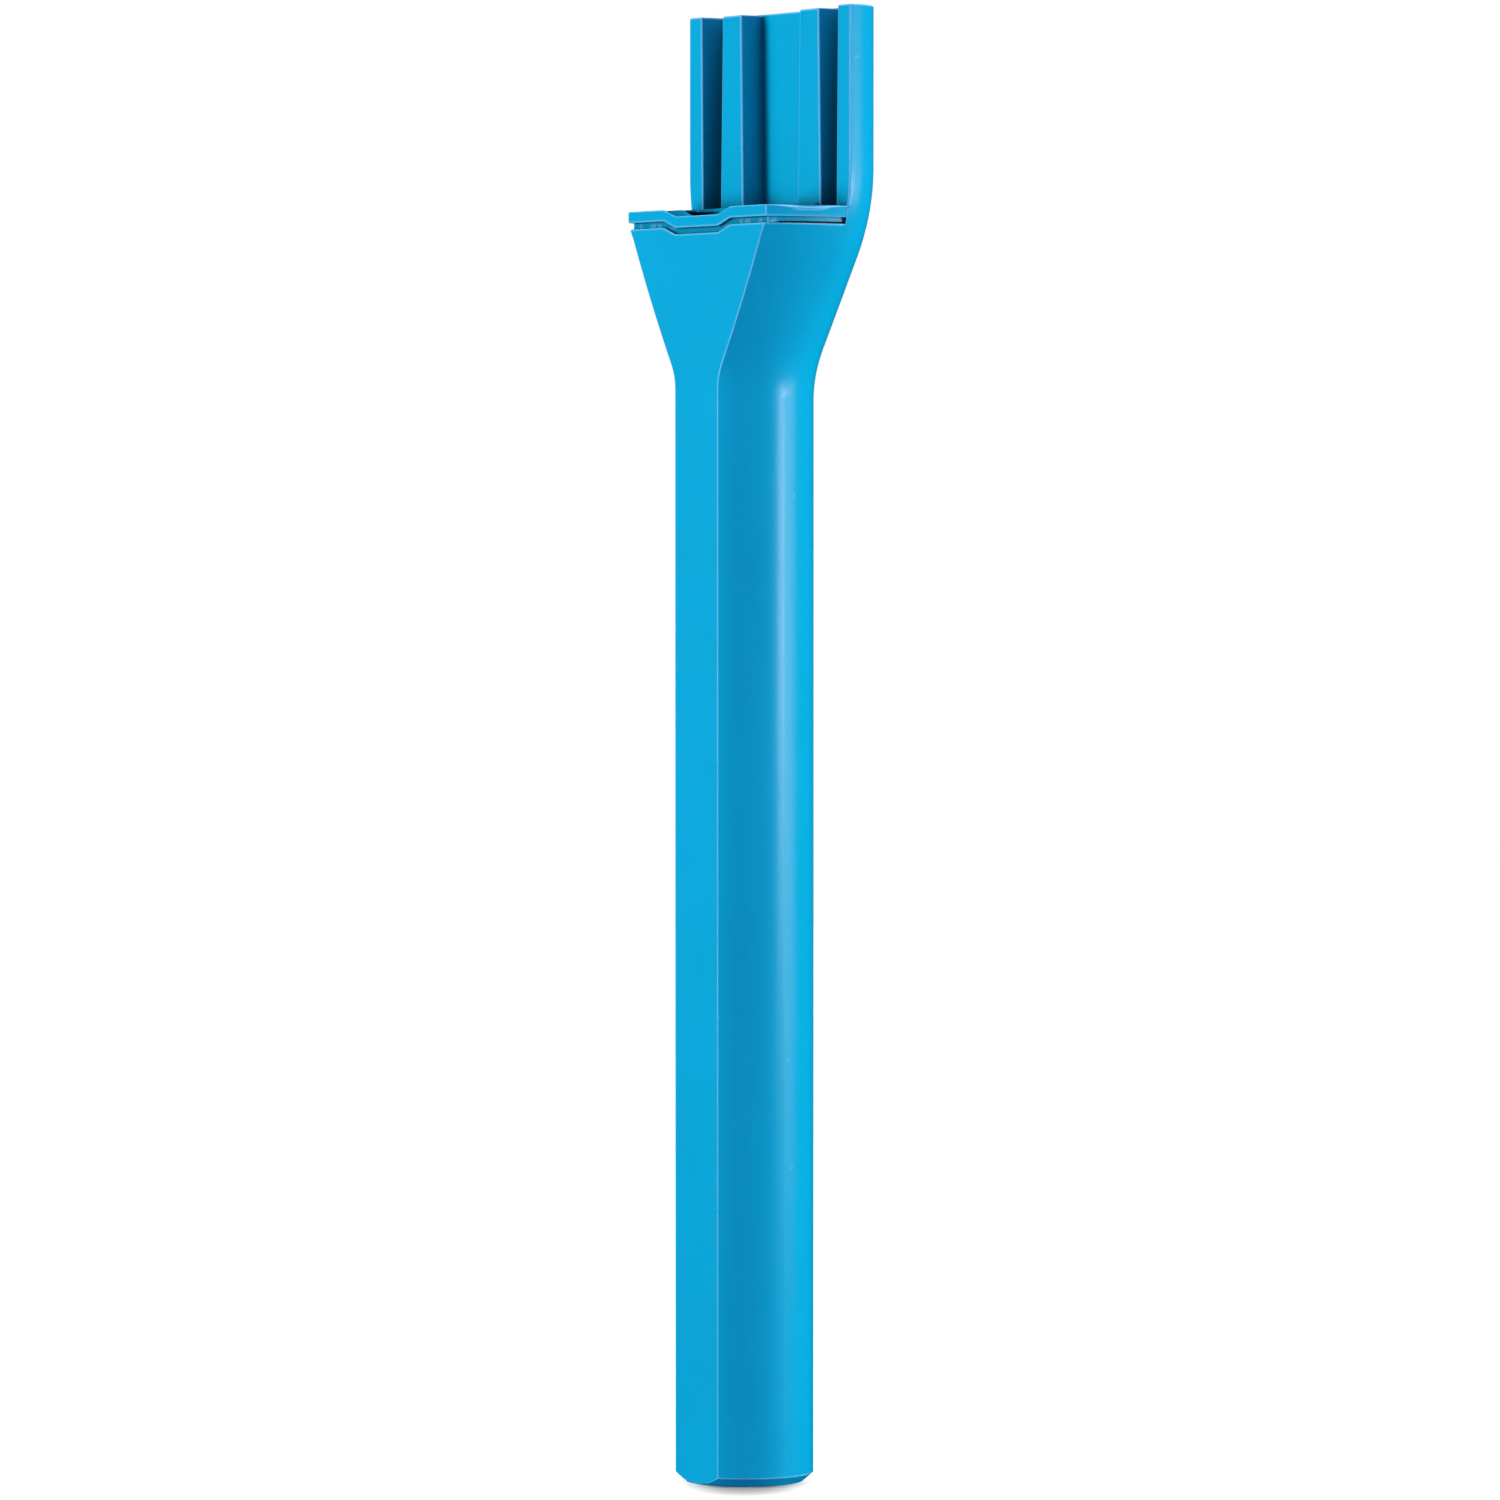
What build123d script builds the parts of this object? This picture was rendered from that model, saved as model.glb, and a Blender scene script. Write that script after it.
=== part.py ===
"""Pool suction wand: a long D-section handle that flares into a strainer mouth and a docking plate.

Frame: millimetres, +Z up, origin at the middle of the lower end, on the axis of the hose bore.
The flat facet of the handle faces -Y and the docking plate stands at the +Y side.
"""
import os
from math import atan2, cos, sin

from build123d import *

# ---- driving dimensions ----------------------------------------------------------------------
HANDLE_R = 22.0              # round of the D-section
FACET_Y = 18.6               # distance of the flat facet from the axis
FACET_HALF = 11.75           # half-width of the facet on the straight handle
END_CHAMFER = 3.4
WALL = 2.4                   # wall of the round
FACET_WALL = 1.6

FLARE_Z = 344.0              # where the round starts to widen
FLARE_END_Z = 416.5          # where the plate is full size
FLARE_EASE_LOW = 16.0        # height of the soft start and of the soft end of the flare
FLARE_EASE_HIGH = 28.0
FACET_FLARE_Z = 347.5        # where the facet starts to widen
FACET_EASE = 8.0
FACET_SLOPE = 0.6            # mm of half-width per mm of height, easing off by FACET_BEND
FACET_BEND = 0.00165
FACET_MAX = 39.5

PLATE_HALF = 44.4            # half-width of the docking plate
PLATE_CORNER_R = 14.0        # its rear corners
PLATE_CORNER_Y = 11.3        # centre of those corners
PLATE_CROWN = 1.0            # how far the rear bulges in the middle
PLATE_FRONT_Y = 9.4          # front plane of the side walls and ribs
TOP_Z = 467.6
BACK_Y = PLATE_CORNER_Y + PLATE_CORNER_R    # rear face of the plate, beside the crown

BODY_TOP_Z = 398.8           # mouth of the shell
RIM_GAP = 2.0                # visible slot between shell and collar
COLLAR_H = 3.6
COLLAR_HALF = 38.3           # half-width of the collar's front
COLLAR_Z = BODY_TOP_Z + RIM_GAP
COLLAR_TOP_Z = COLLAR_Z + COLLAR_H
DIP = 2.3                    # finger dip in the collar's front
DIP_HALF_TOP = 18.4
DIP_HALF_BOTTOM = 11.8
SLOT_DEPTH = 1.4             # how far the slot goes in
FREE = 0.3                   # gap between the lift-out strainer and the shell

PANEL_Y = 18.4               # recessed panel between the ribs
GROOVE_Y = 20.4              # floor of the two dock grooves
DOCK_FLOOR_Z = 402.0
WALL_IN_TOP = 37.5           # inner face of the side walls, at the top and at the floor
WALL_IN_LOW = 36.7
RIB_X_TOP = (16.1, 26.5)
RIB_X_LOW = (15.0, 27.7)
RIB_FRONT_Y = 9.9
RIB_DROP = 0.35              # the ribs stop this far under the plate's top
RIB_ROUND = 0.6
RIB_SCREW_X = 21.3
RIB_SCREW_Z = (420.0, 452.0)
RIB_SKIN = 1.6               # plastic left between a screw's pilot hole and the rib's front

LEDGE_H = 3.0                # ledge under the collar
MOUTH_INSET = 5.7            # shell mouth, from the outer face
MOUTH_REAR_Y = 6.5
MOUTH_R = 4.5
CUP_FRONT_Y = 12.4           # the strainer cup: a tapered box with rounded corners
CUP_REAR_Y = 6.0
CUP_HALF_TOP = (34.1, 36.8)  # half-widths of its front and rear at the collar
CUP_HALF_LOW = (13.0, 15.6)  # and at its floor
CUP_R = 5.0
CUP_WALL = 1.6
CUP_TAPER_Z = 399.0          # above this height the cup's wall is upright
CUP_LIP_FRONT_Z = COLLAR_TOP_Z + 0.1
CUP_LIP_REAR_Z = COLLAR_TOP_Z + 1.2
CUP_FLOOR_Z = 352.0
CUP_BAND_Z = 388.0           # lower edge of the cup's solid upper band
CUP_WINDOW_PITCH = 9.8
CUP_WINDOW = 7.5
CUP_WINDOW_R = 2.0
CUP_WINDOW_SILL = 5.0        # lowest window edge above the floor
CUP_WINDOW_POST = 3.0        # plastic left beside the outer windows
CUP_SIDE_WINDOW = 5.0
CUP_SIDE_WINDOW_Y = (-7.2, 0.8)
CUP_SIDE_SILL = 6.0
DRAIN_R = 1.5
DRAIN_PITCH = 4.6
MESH_T = 0.5
MESH_GAP = 0.05              # between the mesh and the cup
MESH_OVERLAP = 4.0           # how far the mesh reaches above the windows
SEAL_H = 0.6

END_WALL = 4.0               # end wall of the shell, with a clearance hole for the hose cuff
END_HOLE_R = 17.0
BORE_R = 16.0                # hose cuff, 32 mm
SOCKET_TOP_Z = 74.0
STOP_H = 3.0
STOP_BORE_R = 14.0
STOP_CHAMFER = 0.6
GLUE = 0.1
SOCKET_SCREW_Z = (26.0, 58.0)

SCREW_R = 1.75
SCREW_PILOT_R = 1.5
SCREW_HEAD_R = 3.5
SCREW_HEAD_H = 2.4
SCREW_FREE = 0.25            # clearance round a rib screw's shank
HEAD_FREE = 0.3              # and round its head
TIP_FREE = 1.0               # room left in front of a rib screw's tip
CROSS = (4.2, 1.0, 1.2)      # cross slot: length, width and depth
SINK_H = 1.8                 # countersunk heads
SINK_FREE = 0.15
SINK_CROSS = (4.0, 0.9, 0.9)
SOCKET_SKIN = 0.5            # plastic left between the bore and a socket screw's hole

BASE = (Align.CENTER, Align.CENTER, Align.MIN)
THROUGH = 3 * PLATE_HALF     # longer than anything it has to cut through


# ---- the shared outer form -------------------------------------------------------------------
def eased(z, start, ease):
    """Length of a ramp that starts softly: a parabola over `ease`, then straight."""
    if z <= start:
        return 0.0
    if z < start + ease:
        return (z - start) ** 2 / (2 * ease)
    return z - start - ease / 2


def flare(z):
    """0 on the straight handle, 1 on the docking plate."""
    def rise(height):
        falling = eased(height, FLARE_END_Z - FLARE_EASE_HIGH, FLARE_EASE_HIGH)
        return eased(height, FLARE_Z, FLARE_EASE_LOW) - falling
    return min(1.0, rise(z) / rise(FLARE_END_Z))


def facet_half(z):
    """Half-width of the facet, which fans out under the collar."""
    bend = max(0.0, z - FACET_FLARE_Z - FACET_EASE)
    wide = FACET_HALF + FACET_SLOPE * eased(z, FACET_FLARE_Z, FACET_EASE) - FACET_BEND * bend ** 2
    return min(wide, FACET_MAX)


def outline(z, inset=0.0, facet_inset=None, front_half=None):
    """The D-shaped section at a height: facet, two side arcs, two rear corners and a crowned rear."""
    t = flare(z)
    wide = HANDLE_R + (PLATE_HALF - HANDLE_R) * t
    corner = HANDLE_R + (PLATE_CORNER_R - HANDLE_R) * t
    mid_y = PLATE_CORNER_Y * t
    front = facet_half(z) if front_half is None else front_half
    rear = mid_y + corner + PLATE_CROWN * t
    # centre of the side arc: it ends at the widest point, where it runs along Y
    side_r = ((wide - front) ** 2 + (mid_y + FACET_Y) ** 2) / (2 * (wide - front))
    # the rear corner meets the crowned rear at this angle, at every height
    span = PLATE_HALF - PLATE_CORNER_R
    rear_r = (span ** 2 / PLATE_CROWN + PLATE_CROWN) / 2
    meet = atan2(rear_r - PLATE_CROWN, span)

    wide, corner, side_r, rear = wide - inset, corner - inset, side_r - inset, rear - inset
    facet_y = -(FACET_Y - (inset if facet_inset is None else facet_inset))
    side_x = wide - side_r
    front_x = side_x + (side_r ** 2 - (facet_y - mid_y) ** 2) ** 0.5
    lead = atan2(facet_y - mid_y, front_x - side_x) / 2

    def corner_point(angle):
        return (wide - corner + corner * cos(angle), mid_y + corner * sin(angle))

    front_point = (front_x, facet_y)
    side_mid = (side_x + side_r * cos(lead), mid_y + side_r * sin(lead))
    widest = (wide, mid_y)
    corner_mid, corner_end = corner_point(meet / 2), corner_point(meet)

    def flip(point):
        return (-point[0], point[1])

    with BuildSketch() as section:
        with BuildLine():
            Line(flip(front_point), front_point)
            ThreePointArc(front_point, side_mid, widest)
            ThreePointArc(widest, corner_mid, corner_end)
            ThreePointArc(corner_end, (0, rear), flip(corner_end))
            ThreePointArc(flip(corner_end), flip(corner_mid), flip(widest))
            ThreePointArc(flip(widest), flip(side_mid), flip(front_point))
        make_face()
    return section.sketch


def mouth_outline(z, inset, rear_y, corner_r):
    """The section in front of a straight rear edge, with rounded corners."""
    with BuildSketch() as section:
        add(outline(z, inset, front_half=COLLAR_HALF))
        with Locations((0, rear_y)):
            Rectangle(THROUGH, THROUGH, align=(Align.CENTER, Align.MIN), mode=Mode.SUBTRACT)
        if corner_r:
            fillet(section.vertices().group_by(Axis.Y)[0], corner_r)
            fillet(section.vertices().group_by(Axis.Y)[-1], corner_r)
    return section.sketch


def dip_profile(top_z, rise):
    """The trapezoid of the finger dip, in the plane of the facet."""
    with BuildSketch() as section:
        with BuildLine():
            lean = (DIP_HALF_TOP - DIP_HALF_BOTTOM) / DIP
            wide = DIP_HALF_TOP + lean * rise
            Polyline((-DIP_HALF_BOTTOM, top_z - DIP), (DIP_HALF_BOTTOM, top_z - DIP), (wide, top_z + rise),
                     (-wide, top_z + rise), close=True)
        make_face()
    return section.sketch


def dock_profile(low_x, high_low_x, top_x, high_top_x):
    """Front view of a dock recess: its two sides lean from the floor to the open top."""
    above = TOP_Z + 1
    with BuildSketch() as section:
        with BuildLine():
            Polyline((low_x, DOCK_FLOOR_Z), (high_low_x, DOCK_FLOOR_Z), (high_top_x, above), (top_x, above),
                     close=True)
        make_face()
    return section.sketch


def facing_rear(x, y, z):
    """A plane whose normal is +Y, for the screws that come in from behind."""
    return Plane((x, y, z), z_dir=(0, 1, 0))


def cross_slot(length, width, depth):
    """Cuts a cross slot into a screw's head, centred where the caller's location is."""
    Box(length, width, 2 * depth, mode=Mode.SUBTRACT)
    Box(width, length, 2 * depth, mode=Mode.SUBTRACT)


FRONT = Plane.XZ             # its normal is -Y: offset(FACET_Y) is the facet
FLARE_HEIGHTS = (344, 346, 349, 352, 356, 360, 366, 374, 382, 390, 398, 404, 410, 416.5)
RIB_SCREW_SPOTS = [(side * RIB_SCREW_X, z) for side in (-1, 1) for z in RIB_SCREW_Z]

# ---- handle shell ----------------------------------------------------------------------------
with BuildPart() as handle_shell:
    with BuildSketch(Plane.XY):
        add(outline(0))
    extrude(amount=FLARE_Z)
    # the lower end is coned all round, and the cone's small end is a full circle that the facet touches
    with BuildSketch(Plane.XZ):
        with BuildLine():
            beyond = HANDLE_R + 1
            Polyline((HANDLE_R - END_CHAMFER, 0), (beyond, 0), (beyond, END_CHAMFER + 1), close=True)
        make_face()
    revolve(axis=Axis.Z, mode=Mode.SUBTRACT)
    for height in FLARE_HEIGHTS:
        with BuildSketch(Plane.XY.offset(height)):
            add(outline(height))
    loft()
    with BuildSketch(Plane.XY.offset(FLARE_END_Z)):
        add(outline(FLARE_END_Z))
    extrude(amount=TOP_Z - FLARE_END_Z)
    # everything in front of the docking plate stops at the mouth
    with BuildSketch(Plane.XY.offset(BODY_TOP_Z)):
        with Locations((0, PLATE_FRONT_Y)):
            Rectangle(THROUGH, THROUGH, align=(Align.CENTER, Align.MAX))
    extrude(amount=TOP_Z, mode=Mode.SUBTRACT)
    # tube cavity, then the throat under the ledge
    with BuildSketch(Plane.XY.offset(END_WALL)):
        add(outline(0, WALL, FACET_WALL))
    extrude(amount=FLARE_Z - END_WALL, mode=Mode.SUBTRACT)
    ledge_z = BODY_TOP_Z - LEDGE_H
    for height in [h for h in FLARE_HEIGHTS if h < ledge_z] + [ledge_z]:
        with BuildSketch(Plane.XY.offset(height)):
            add(outline(height, WALL, FACET_WALL))
    loft(mode=Mode.SUBTRACT)
    with BuildSketch(Plane.XY.offset(ledge_z)):
        add(mouth_outline(COLLAR_Z, MOUTH_INSET, MOUTH_REAR_Y, MOUTH_R))
    extrude(amount=TOP_Z, mode=Mode.SUBTRACT)
    with BuildSketch(Plane.XY):
        Circle(END_HOLE_R)
    extrude(amount=END_WALL, mode=Mode.SUBTRACT)
    # finger dip in the front of the mouth
    with BuildSketch(FRONT.offset(FACET_Y - SLOT_DEPTH)):
        add(dip_profile(BODY_TOP_Z, 1.0))
    extrude(amount=2 * SLOT_DEPTH, mode=Mode.SUBTRACT)
    # dock: the space between the side walls down to the recessed panel, with a groove along each wall
    dock_front = FRONT.offset(1 - PLATE_FRONT_Y)
    with BuildSketch(dock_front):
        add(dock_profile(-WALL_IN_LOW, WALL_IN_LOW, -WALL_IN_TOP, WALL_IN_TOP))
    extrude(amount=PLATE_FRONT_Y - 1 - PANEL_Y, mode=Mode.SUBTRACT)
    with BuildSketch(dock_front):
        add(dock_profile(RIB_X_LOW[1], WALL_IN_LOW, RIB_X_TOP[1], WALL_IN_TOP))
        mirror(about=Plane.YZ)
    extrude(amount=PLATE_FRONT_Y - 1 - GROOVE_Y, mode=Mode.SUBTRACT)
    # rib screws come in from the rear, their heads sunk in the plate
    for x, z in RIB_SCREW_SPOTS:
        with Locations(facing_rear(x, 0, z)):
            Cylinder(SCREW_R + SCREW_FREE, THROUGH, align=BASE, mode=Mode.SUBTRACT)
        with Locations(facing_rear(x, BACK_Y - SCREW_HEAD_H, z)):
            Cylinder(SCREW_HEAD_R + HEAD_FREE, THROUGH, align=BASE, mode=Mode.SUBTRACT)
    # countersunk screws hold the hose socket from the rear of the handle
    for z in SOCKET_SCREW_Z:
        with Locations(facing_rear(0, BORE_R, z)):
            Cylinder(SCREW_R + SINK_FREE, THROUGH, align=BASE, mode=Mode.SUBTRACT)
        with Locations(facing_rear(0, HANDLE_R - SINK_H, z)):
            Cone(SCREW_R + SINK_FREE, SCREW_HEAD_R, SINK_H, align=BASE, mode=Mode.SUBTRACT)


# ---- guide ribs, one each side of the middle, wider at the floor --------------------------------
def guide_rib(side):
    """A rib on the left (-1) or the right (1), with pilot holes from behind."""
    top = TOP_Z - RIB_DROP
    with BuildPart() as rib:
        with BuildSketch(FRONT.offset(-RIB_FRONT_Y)):
            with BuildLine():
                Polyline((side * RIB_X_LOW[0], DOCK_FLOOR_Z), (side * RIB_X_LOW[1], DOCK_FLOOR_Z),
                         (side * RIB_X_TOP[1], top), (side * RIB_X_TOP[0], top), close=True)
            make_face()
        extrude(amount=RIB_FRONT_Y - PANEL_Y)
        fillet(rib.faces().sort_by(Axis.Y)[0].edges(), RIB_ROUND)
        for z in RIB_SCREW_Z:
            with Locations(facing_rear(side * RIB_SCREW_X, RIB_FRONT_Y + RIB_SKIN, z)):
                Cylinder(SCREW_PILOT_R, THROUGH, align=BASE, mode=Mode.SUBTRACT)
    return rib


guide_rib_left = guide_rib(-1)
guide_rib_right = guide_rib(1)

# ---- screws ----------------------------------------------------------------------------------
with BuildPart() as rib_screws:
    tip_y = RIB_FRONT_Y + RIB_SKIN + TIP_FREE
    for x, z in RIB_SCREW_SPOTS:
        with Locations(facing_rear(x, BACK_Y - SCREW_HEAD_H, z)):
            Cylinder(SCREW_HEAD_R, SCREW_HEAD_H, align=BASE)
        with Locations(facing_rear(x, tip_y, z)):
            Cylinder(SCREW_R, BACK_Y - SCREW_HEAD_H - tip_y, align=BASE)
        with Locations(facing_rear(x, BACK_Y, z)):
            cross_slot(*CROSS)

with BuildPart() as socket_screws:
    head_y = HANDLE_R - GLUE
    tip_y = BORE_R + SOCKET_SKIN + GLUE
    for z in SOCKET_SCREW_Z:
        with Locations(facing_rear(0, head_y - SINK_H, z)):
            Cone(SCREW_R, SCREW_HEAD_R - SCREW_FREE, SINK_H, align=BASE)
        with Locations(facing_rear(0, tip_y, z)):
            Cylinder(SCREW_R, head_y - SINK_H - tip_y + GLUE, align=BASE)
        with Locations(facing_rear(0, head_y, z)):
            cross_slot(*SINK_CROSS)

# ---- hose socket in the lower end, and the rubber washer that the cuff stops on ------------------
with BuildPart() as hose_socket:
    with BuildSketch(Plane.XY.offset(END_WALL)):
        add(outline(0, WALL + GLUE, FACET_WALL + GLUE))
    extrude(amount=SOCKET_TOP_Z - END_WALL)
    with BuildSketch(Plane.XY):
        Circle(END_HOLE_R - GLUE / 2)
    extrude(amount=END_WALL)
    with BuildSketch(Plane.XY):
        Circle(BORE_R)
    extrude(amount=SOCKET_TOP_Z, mode=Mode.SUBTRACT)
    for z in SOCKET_SCREW_Z:
        with Locations(facing_rear(0, BORE_R + SOCKET_SKIN, z)):
            Cylinder(SCREW_R, THROUGH, align=BASE, mode=Mode.SUBTRACT)

with BuildPart() as hose_stop:
    with BuildSketch(Plane.XY.offset(SOCKET_TOP_Z)):
        add(outline(0, WALL + GLUE, FACET_WALL + GLUE))
        Circle(STOP_BORE_R, mode=Mode.SUBTRACT)
    extrude(amount=STOP_H)
    chamfer(hose_stop.edges().filter_by(GeomType.CIRCLE).sort_by(SortBy.RADIUS)[:2], STOP_CHAMFER)


# ---- lift-out strainer: collar, cup, mesh and the gasket under the collar ------------------------
def cup_outline(z, inset=0.0):
    """Plan of the cup at a height: four sides with rounded corners."""
    t = min(1.0, (z - CUP_FLOOR_Z) / (CUP_TAPER_Z - CUP_FLOOR_Z))
    front, rear = (low + (top - low) * t - inset for low, top in zip(CUP_HALF_LOW, CUP_HALF_TOP))
    with BuildSketch() as section:
        with BuildLine():
            Polyline((-front, inset - CUP_FRONT_Y), (front, inset - CUP_FRONT_Y), (rear, CUP_REAR_Y - inset),
                     (-rear, CUP_REAR_Y - inset), close=True)
        make_face()
        fillet(section.vertices(), CUP_R - inset)
    return section.sketch


with BuildPart() as strainer_rim:
    for z in (COLLAR_Z, COLLAR_TOP_Z):
        with BuildSketch(Plane.XY.offset(z)):
            add(mouth_outline(z, 0, PLATE_FRONT_Y - FREE, 0))
    loft(ruled=True)
    # finger dip: cut from the top, with the same shape hanging under the front
    with BuildSketch(FRONT.offset(FACET_Y - WALL - MOUTH_INSET)):
        add(dip_profile(COLLAR_TOP_Z, 1.0))
    extrude(amount=3 * MOUTH_INSET, mode=Mode.SUBTRACT)
    with BuildSketch(FRONT.offset(FACET_Y)):
        add(dip_profile(COLLAR_Z, 0.0))
    extrude(amount=FREE - SLOT_DEPTH)
    # the step that stands on the gasket is the inner wall of the visible slot
    with BuildSketch(Plane.XY.offset(BODY_TOP_Z + SEAL_H)):
        add(mouth_outline(COLLAR_Z, SLOT_DEPTH, PLATE_FRONT_Y - FREE, 0))
    extrude(amount=RIM_GAP - SEAL_H)
    with BuildSketch(Plane.XY.offset(BODY_TOP_Z)):
        add(cup_outline(COLLAR_Z))
    extrude(amount=2 * COLLAR_H + RIM_GAP, mode=Mode.SUBTRACT)

with BuildPart() as rim_seal:
    with BuildSketch(Plane.XY.offset(BODY_TOP_Z)):
        add(mouth_outline(COLLAR_Z, SLOT_DEPTH + GLUE, PLATE_FRONT_Y - FREE, 0))
        add(cup_outline(COLLAR_Z), mode=Mode.SUBTRACT)
    extrude(amount=SEAL_H)

with BuildPart() as strainer_cup:
    for inset, floor in ((0.0, 0.0), (CUP_WALL, CUP_WALL)):
        mode = Mode.SUBTRACT if inset else Mode.ADD
        for z in (CUP_FLOOR_Z + floor, CUP_TAPER_Z):
            with BuildSketch(Plane.XY.offset(z)):
                add(cup_outline(z, inset))
        loft(ruled=True, mode=mode)
        with BuildSketch(Plane.XY.offset(CUP_TAPER_Z)):
            add(cup_outline(CUP_TAPER_Z, inset))
        extrude(amount=TOP_Z - CUP_TAPER_Z, mode=mode)
    # the lip rises a little from front to rear
    with BuildSketch(Plane.YZ):
        with BuildLine():
            Polyline((-CUP_FRONT_Y - 1, TOP_Z + 1), (-CUP_FRONT_Y - 1, CUP_LIP_FRONT_Z),
                     (-CUP_FRONT_Y, CUP_LIP_FRONT_Z), (CUP_REAR_Y, CUP_LIP_REAR_Z),
                     (CUP_REAR_Y + 1, CUP_LIP_REAR_Z), (CUP_REAR_Y + 1, TOP_Z + 1), close=True)
        make_face()
    extrude(amount=PLATE_HALF, both=True, mode=Mode.SUBTRACT)
    # the dip goes through the lip too
    with BuildSketch(FRONT.offset(CUP_FRONT_Y - 2 * CUP_WALL)):
        add(dip_profile(COLLAR_TOP_Z, 2.0))
    extrude(amount=4 * CUP_WALL, mode=Mode.SUBTRACT)
    # windows in front and rear, each as tall as the taper leaves room for
    slope = (CUP_HALF_TOP[0] - CUP_HALF_LOW[0]) / (CUP_TAPER_Z - CUP_FLOOR_Z)
    for column in range(-2, 3):
        x = column * CUP_WINDOW_PITCH
        climb = (abs(x) + CUP_WINDOW / 2 + CUP_WINDOW_POST - CUP_HALF_LOW[0]) / slope
        low = CUP_FLOOR_Z + max(CUP_WINDOW_SILL, climb)
        with BuildSketch(FRONT.offset(-THROUGH / 2)):
            with Locations((x, (low + CUP_BAND_Z) / 2)):
                RectangleRounded(CUP_WINDOW, CUP_BAND_Z - low, CUP_WINDOW_R)
        extrude(amount=THROUGH, mode=Mode.SUBTRACT)
    for y in CUP_SIDE_WINDOW_Y:
        with BuildSketch(Plane.YZ):
            with Locations((y, (CUP_FLOOR_Z + CUP_SIDE_SILL + CUP_BAND_Z) / 2)):
                RectangleRounded(CUP_SIDE_WINDOW, CUP_BAND_Z - CUP_FLOOR_Z - CUP_SIDE_SILL, CUP_WINDOW_R)
        extrude(amount=PLATE_HALF, both=True, mode=Mode.SUBTRACT)
    # drain holes in the floor
    with BuildSketch(Plane.XY.offset(CUP_FLOOR_Z - 1)):
        with Locations((0, (CUP_REAR_Y - CUP_FRONT_Y) / 2)):
            with GridLocations(DRAIN_PITCH, DRAIN_PITCH, 5, 3):
                Circle(DRAIN_R)
    extrude(amount=2 * CUP_WALL, mode=Mode.SUBTRACT)

with BuildPart() as strainer_mesh:
    for inset, mode in ((CUP_WALL + MESH_GAP, Mode.ADD), (CUP_WALL + MESH_GAP + MESH_T, Mode.SUBTRACT)):
        for z in (CUP_FLOOR_Z + CUP_WALL + MESH_GAP, CUP_BAND_Z + MESH_OVERLAP):
            with BuildSketch(Plane.XY.offset(z)):
                add(cup_outline(z, inset))
        loft(ruled=True, mode=mode)

PIECES = {
    "handle_shell": handle_shell, "guide_rib_left": guide_rib_left, "guide_rib_right": guide_rib_right,
    "rib_screws": rib_screws, "hose_socket": hose_socket, "hose_stop": hose_stop,
    "socket_screws": socket_screws, "strainer_rim": strainer_rim,
    "strainer_cup": strainer_cup, "strainer_mesh": strainer_mesh, "rim_seal": rim_seal,
}
os.makedirs("parts", exist_ok=True)
for name, piece in PIECES.items():
    piece.part.label = name
    export_step(piece.part, f"parts/{name}.step")
    print(name, len(piece.part.solids()), "solid(s)", round(piece.part.volume), "mm3")
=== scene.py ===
# %% [markdown]
# # A pool suction wand in moulded ABS
# The wand is one long injection moulding. A D-shaped handle, round with one flat facet, flares into a
# wide mouth. A strainer with a collar drops into the mouth, and behind it stands a plate with two ribs
# on which a vacuum tool docks. This lesson skins each visible piece around the fixed engineering frame,
# then finishes the plastics, and lights the wand for a catalogue page.

import math

import bmesh
import bpy
from mathutils import Matrix, Vector


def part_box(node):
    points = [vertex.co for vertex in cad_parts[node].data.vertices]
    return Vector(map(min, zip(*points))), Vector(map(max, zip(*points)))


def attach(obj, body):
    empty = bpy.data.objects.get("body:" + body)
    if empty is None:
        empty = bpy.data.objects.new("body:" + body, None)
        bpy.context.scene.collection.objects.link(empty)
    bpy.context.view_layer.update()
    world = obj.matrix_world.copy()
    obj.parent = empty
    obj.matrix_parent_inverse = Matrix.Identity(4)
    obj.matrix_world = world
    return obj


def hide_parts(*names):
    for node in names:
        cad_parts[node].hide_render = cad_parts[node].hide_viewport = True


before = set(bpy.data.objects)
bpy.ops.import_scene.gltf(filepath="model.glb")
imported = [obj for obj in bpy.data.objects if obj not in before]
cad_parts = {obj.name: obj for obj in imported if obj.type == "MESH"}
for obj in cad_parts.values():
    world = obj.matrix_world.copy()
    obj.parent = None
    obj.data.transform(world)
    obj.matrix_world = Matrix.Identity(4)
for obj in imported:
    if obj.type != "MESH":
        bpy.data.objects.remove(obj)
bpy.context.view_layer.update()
print("nodes:", sorted(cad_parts))

# %% [markdown]
# ## Sizes
# The frame says where each engineered piece lies, so the outer sizes are read from it. What the frame
# can't say in a box, such as how softly the flare starts, is named below in millimetres, the unit of the
# drawing board. Meshes are built in millimetres too, and scaled to metres when they become objects.

# %% Read the driving sizes from the frame
MM = 0.001
shell_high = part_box("handle_shell")[1] / MM
rim_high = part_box("strainer_rim")[1] / MM
seal_low, seal_high = (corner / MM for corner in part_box("rim_seal"))
rib_low, rib_high = (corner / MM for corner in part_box("guide_rib_right"))
cup_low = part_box("strainer_cup")[0] / MM
mesh_low, mesh_high = (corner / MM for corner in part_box("strainer_mesh"))

TOP_Z = shell_high.z
PLATE_HALF = shell_high.x
BODY_TOP_Z = seal_low.z            # the gasket lies on the mouth of the shell
COLLAR_TOP_Z = rim_high.z
PANEL_Y = rib_high.y               # the ribs stand on the recessed panel
print("height", round(TOP_Z, 1), "mm, collar top at", round(COLLAR_TOP_Z, 1), "mm")

# %% [markdown]
# The next values are the drawing itself. The handle is a 44 mm round with a flat facet in front. The
# facet widens with the flare, and the round turns into a plate with rounded corners. They are kept in
# one place, so that a change to one of them carries through every piece that shares it.

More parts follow.
